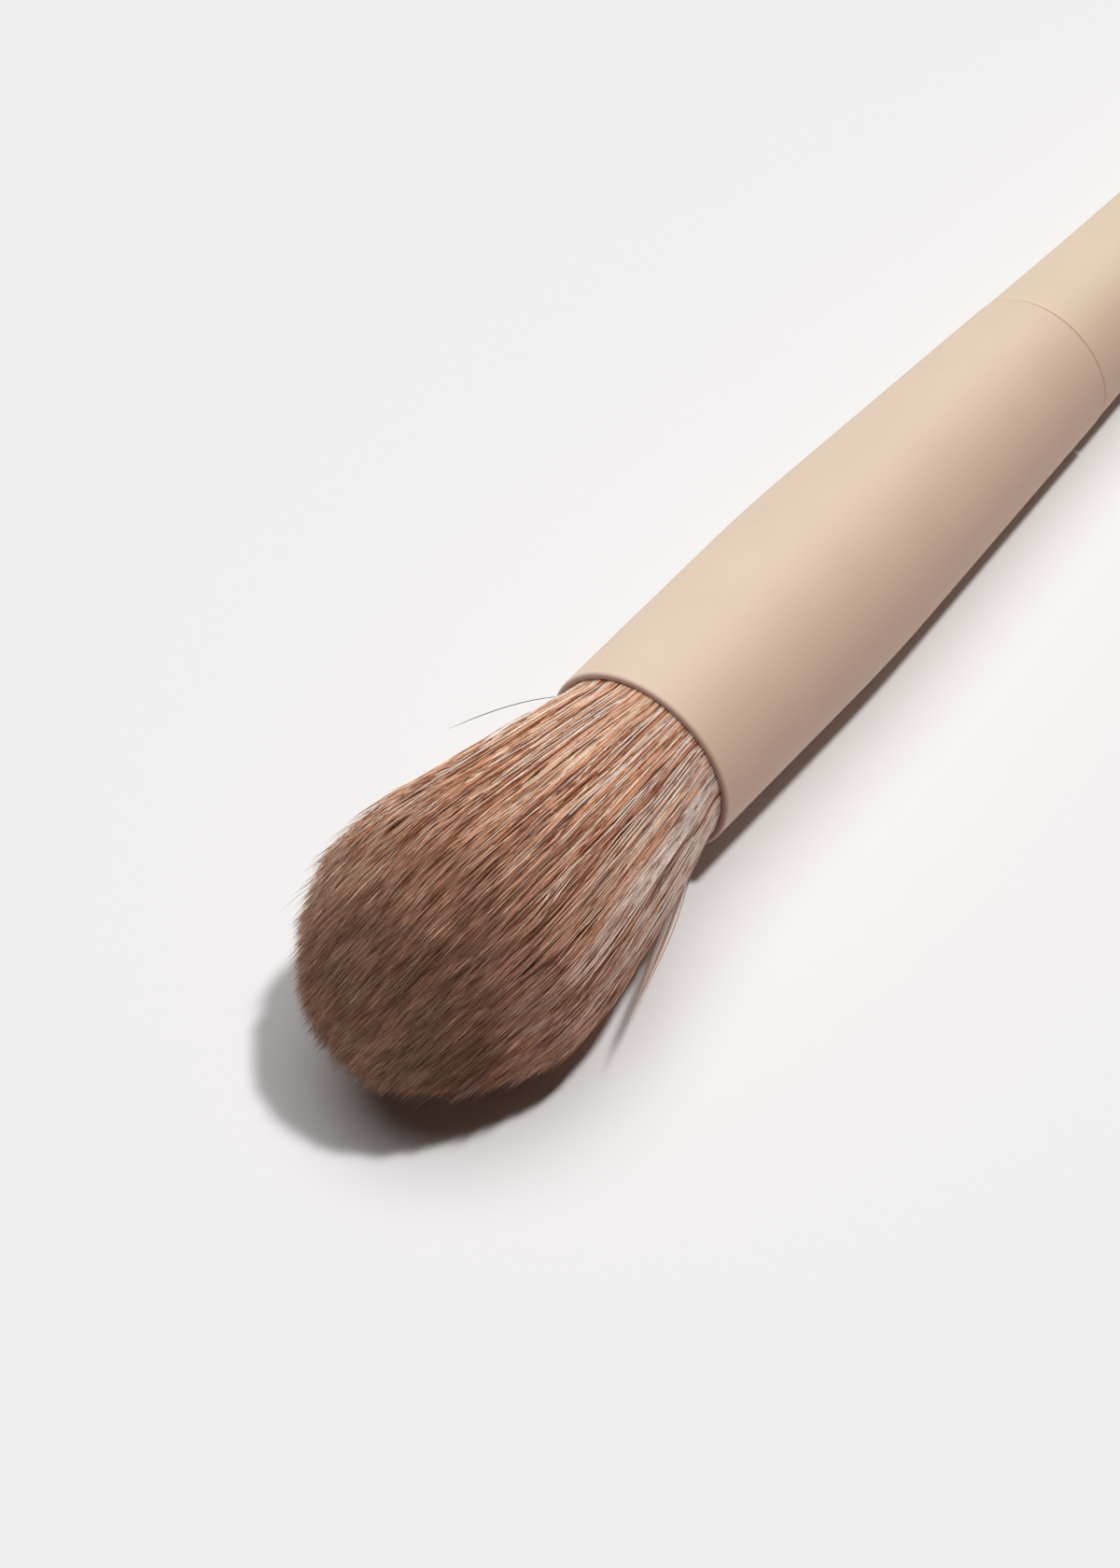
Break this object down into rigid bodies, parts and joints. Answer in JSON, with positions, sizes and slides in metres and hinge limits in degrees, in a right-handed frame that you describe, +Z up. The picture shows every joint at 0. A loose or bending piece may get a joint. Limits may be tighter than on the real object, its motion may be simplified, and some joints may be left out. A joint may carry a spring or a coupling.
{
  "type": "blush brush",
  "caption": "Blush brush with a round domed tuft, a long tapered painted ferrule and a slim painted handle, lying on its side.",
  "frame": {"origin": "centre of the bounding box's underside, on the table that the brush lies on", "axes": "+X points from the tuft towards the handle's end, +Z up from the table, +Y across the brush"},
  "size_m": [0.1501, 0.0243, 0.0239],
  "materials": {
    "hair": "fine synthetic hair, copper and pale near the ferrule, dark brown at the tip",
    "ferrule_paint": "matt warm beige lacquer on metal",
    "handle_paint": "matt warm beige lacquer on wood",
    "thread": "plain pale thread",
    "root_glue": "cured amber resin",
    "tenon_glue": "cured amber resin"
  },
  "bodies": {
    "root": {"bristle_tuft": "hair", "ferrule": "ferrule_paint", "handle": "handle_paint", "root_binding": "thread", "root_glue_plug": "root_glue", "tenon_glue": "tenon_glue"}
  },
  "joints": []
}
